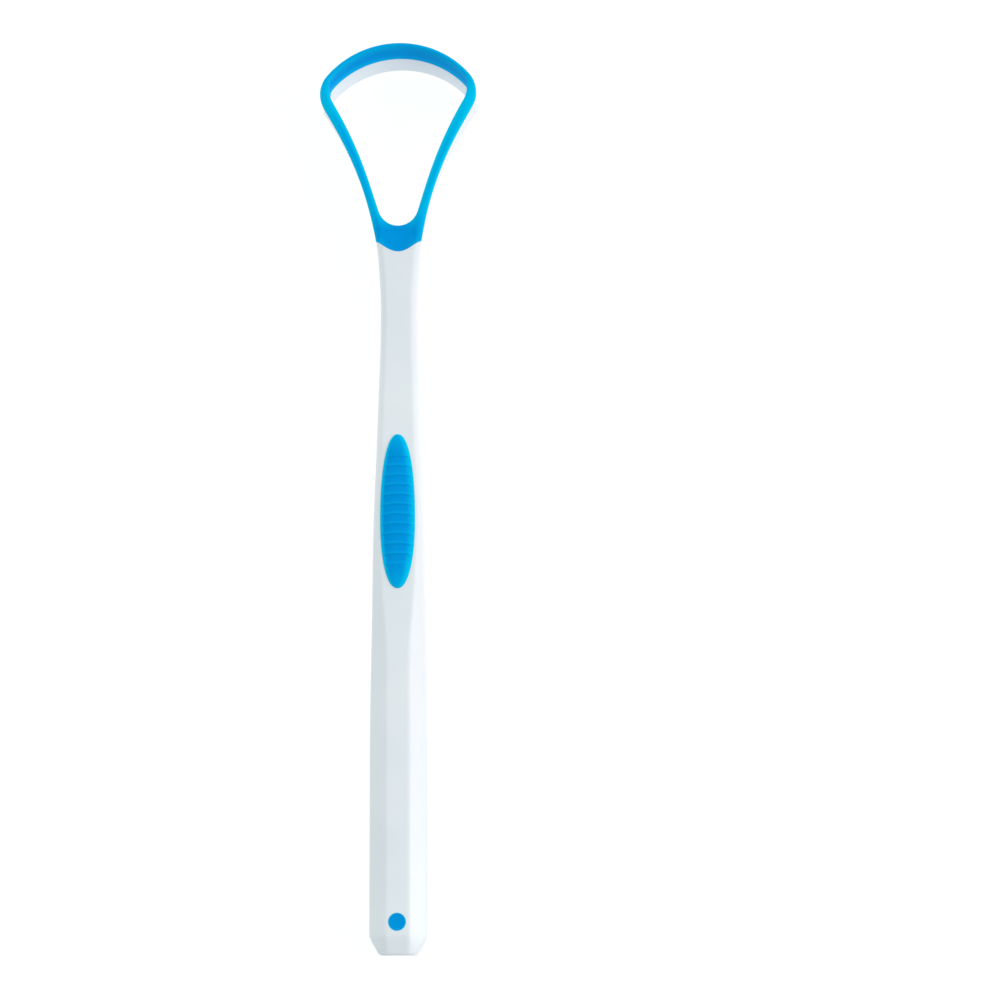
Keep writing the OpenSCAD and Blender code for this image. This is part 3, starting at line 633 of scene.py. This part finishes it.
# Painted light: the attribute's depth mixes in the lighter cyan #00cdf9, fully at an edge and not at
# all 2 mm in
painted_light_depth_node = add_node(tree, "ShaderNodeAttribute", attribute_name="painted_light_depth")
painted_light_share = add_node(tree, "ShaderNodeMapRange", {
    "Value": painted_light_depth_node.outputs["Fac"], "From Max": painted_light_reach, "To Min": 1.0, "To Max": 0.0,
}, interpolation_type="SMOOTHSTEP")
hue = add_node(tree, "ShaderNodeMixRGB", {
    "Fac": painted_light_share.outputs["Result"], "Color1": tint.outputs["Color"], "Color2": linear("#00cdf9"),
})
grain = add_node(tree, "ShaderNodeTexNoise", {"Vector": place, "Scale": 1 / grain_size, "Detail": 3.0})
satin = add_node(tree, "ShaderNodeBump", {
    "Height": grain.outputs["Fac"], "Distance": 0.01 * MM, "Strength": 0.7,
})
gloss = add_node(tree, "ShaderNodeMapRange", {
    "Value": cloud.outputs["Fac"], "To Min": 0.4, "To Max": 0.5,
})
rubber = add_node(tree, "ShaderNodeBsdfPrincipled", {
    "Base Color": hue.outputs["Color"], "Roughness": gloss.outputs["Result"], "IOR": 1.5,
    "Specular IOR Level": 0.012, "Normal": satin.outputs["Normal"],
})
add_node(tree, "ShaderNodeOutputMaterial", {"Surface": rubber.outputs[0]})
finish_piece(lip, soft_blue, 32, "scraper_rim")

# Grip pad: the same elastomer in an egg-shaped pocket, crowned across, with twelve ribs that bow
# to the loop between recessed floors, and a smooth border. Two pegs hold it down.
rib_count, rib_pitch, rib_half, rib_h, rib_bow, rib_shift = 12, 1.88, 0.46, 0.22, 0.4, 1.4
pad_edge_h, pad_crown_h, pad_border_w, field_ease_w, shoulder_r = 0.15, 0.72, 0.9, 0.9, 0.2
half_field = (rib_count - 1) / 2 * rib_pitch
first_rib, last_rib = pad_y + rib_shift - half_field, pad_y + rib_shift + half_field
# Rows of points lie close at both ends and over the ribs
near_end = 0.01
end_rows = (1 - np.cos(np.linspace(0, np.pi, 60))) / 2
end_rows = mix(pad_low_y + near_end, pad_top_y - near_end, end_rows)
rows = np.unique(np.r_[
    end_rows[(end_rows < first_rib - 1) | (end_rows > last_rib + 1)],
    np.linspace(first_rib - 1, last_rib + 1, 420),
])
pad_half = egg(rows)[:, None]
across = np.sin(np.linspace(-np.pi / 2, np.pi / 2, 61))[None, :]
rib = np.clip(np.round((rows - first_rib) / rib_pitch), 0, rib_count - 1)
from_rib = np.abs(rows - first_rib - rib * rib_pitch)
ribbed = (rows > first_rib) & (rows < last_rib)
sunk = np.where(ribbed, ease(from_rib / rib_half), 0)[:, None]
from_side = pad_half * (1 - np.abs(across))
field = ease((from_side - pad_border_w) / field_ease_w + 1)
crown = 1 - np.abs(across) ** 2.4
size_share = pad_half / (pad_w / 2)
past_shoulder = np.clip(from_side / shoulder_r, 0, 1)
shoulder = np.minimum(shoulder_r, pad_half) * (1 - np.sqrt(1 - (1 - past_shoulder) ** 2))
pad_top = np.stack([
    across * pad_half,
    rows[:, None] + rib_bow * size_share**2 * (1 - across**2),
    handle_t + pad_edge_h + pad_crown_h * size_share * crown - rib_h * sunk * field - shoulder,
], axis=-1)
side_z = np.full_like(pad_half, pocket_z)
pad_rings = np.concatenate([
    np.stack([-pad_half, rows[:, None], side_z], axis=-1), pad_top,
    np.stack([pad_half, rows[:, None], side_z], axis=-1),
], axis=1)
far_inside = 9
# Painted light: the pad is painted lighter at its rim, more widely on the right side, which faces the
# lamp, a little at both ends, and in painted highlights on the ribs' crests
from_rim = from_side * mix(2.2, 1.2, ease(0.5 + 2 * across))
from_end = 1 + 0.2 * np.minimum(rows - pad_low_y, pad_top_y - rows)[:, None]
from_crest = np.where(ribbed, 1.3 + 1.2 * from_rib, far_inside)[:, None] + far_inside * (1 - field)
painted_light_depth = np.minimum(np.minimum(from_rim, from_end), from_crest)
pad = skin("grip_pad", pad_rings, joined=False, painted_light_depth=np.pad(painted_light_depth, ((0, 0), (1, 1))))
pegs = [prism("peg", circle(y, peg_r), pocket_z - peg_l, pocket_z + peg_overlap) for y in peg_ys]
combine(pad, pegs, "UNION")
finish_piece(pad, soft_blue, 40, "grip_pad")

# Tail dot: the same elastomer, a plug that fills the stepped hole near the tail, flush and very
# slightly hollow on top.
dot_profile = np.array([
    [0.02, handle_t - 0.10], [0.5, handle_t - 0.09], [1.0, handle_t - 0.06], [1.35, handle_t - 0.025],
    [1.55, handle_t], [1.62, handle_t - 0.01], [dot_r, handle_t - 0.05], [dot_r, dot_z],
    [root_r, dot_z], [root_r, root_z],
])
dot_radii, dot_heights = dot_profile[:, :1], dot_profile[:, 1:]
turn = np.linspace(0, 2 * np.pi, 96, endpoint=False)[None, :]
dot_rings = np.stack([
    dot_radii * np.cos(turn), dot_y + dot_radii * np.sin(turn),
    np.repeat(dot_heights, turn.size, axis=1),
], axis=-1)
# Painted highlight: the dot is painted lighter only close to its rim
painted_light_depth = np.repeat(0.6 + 4 * (dot_r - dot_radii), turn.size, axis=1)
dot = skin("end_plug", dot_rings, joined=False, painted_light_depth=painted_light_depth)
finish_piece(dot, soft_blue, 32, "end_plug")
